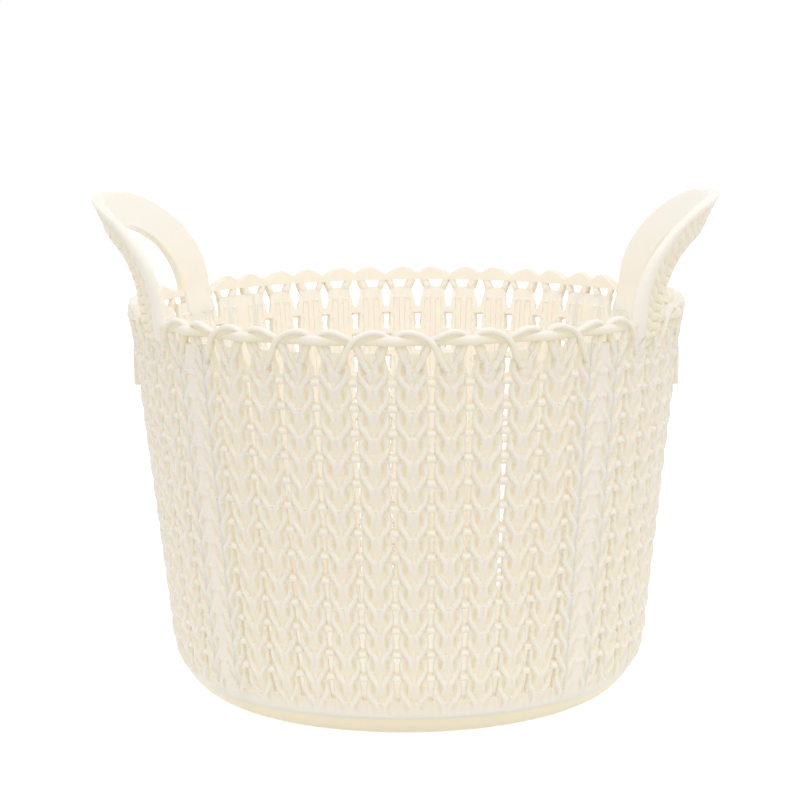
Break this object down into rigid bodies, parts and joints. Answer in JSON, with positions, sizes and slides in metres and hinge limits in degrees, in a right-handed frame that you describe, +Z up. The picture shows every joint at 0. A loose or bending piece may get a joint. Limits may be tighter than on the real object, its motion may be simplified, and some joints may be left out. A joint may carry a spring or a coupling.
{
  "type": "storage basket",
  "caption": "Round open storage basket in moulded cream plastic with a knitted look, pierced tapering walls, a braided scalloped rim and flared loop handles.",
  "frame": {"origin": "under the middle of the foot, on the surface that the basket stands on", "axes": "+Z up, -Y towards the front of the picture, handles on -X and +X"},
  "size_m": [0.2146, 0.1914, 0.1708],
  "materials": {
    "knit_plastic": "satin cream polypropylene with a moulded knit relief",
    "braid_plastic": "semi-gloss cream polypropylene, rounded strands",
    "smooth_plastic": "semi-gloss cream polypropylene, smooth"
  },
  "bodies": {
    "root": {"base_floor": "smooth_plastic", "skirt_front": "smooth_plastic", "skirt_right": "smooth_plastic", "skirt_back": "smooth_plastic", "skirt_left": "smooth_plastic", "wall_front_far_left": "knit_plastic", "wall_front_left": "knit_plastic", "wall_front_middle": "knit_plastic", "wall_front_right": "knit_plastic", "wall_front_far_right": "knit_plastic", "wall_right_far_left": "knit_plastic", "wall_right_left": "knit_plastic", "wall_right_middle": "knit_plastic", "wall_right_right": "knit_plastic", "wall_right_far_right": "knit_plastic", "wall_back_far_left": "knit_plastic", "wall_back_left": "knit_plastic", "wall_back_middle": "knit_plastic", "wall_back_right": "knit_plastic", "wall_back_far_right": "knit_plastic", "wall_left_far_left": "knit_plastic", "wall_left_left": "knit_plastic", "wall_left_middle": "knit_plastic", "wall_left_right": "knit_plastic", "wall_left_far_right": "knit_plastic", "seam_post_front_right": "knit_plastic", "seam_post_back_right": "knit_plastic", "seam_post_back_left": "knit_plastic", "seam_post_front_left": "knit_plastic", "rim_front": "braid_plastic", "rim_right": "braid_plastic", "rim_back": "braid_plastic", "rim_left": "braid_plastic", "handle_right": "smooth_plastic", "handle_left": "smooth_plastic", "side_plate_right": "smooth_plastic", "side_plate_left": "smooth_plastic"}
  },
  "joints": []
}
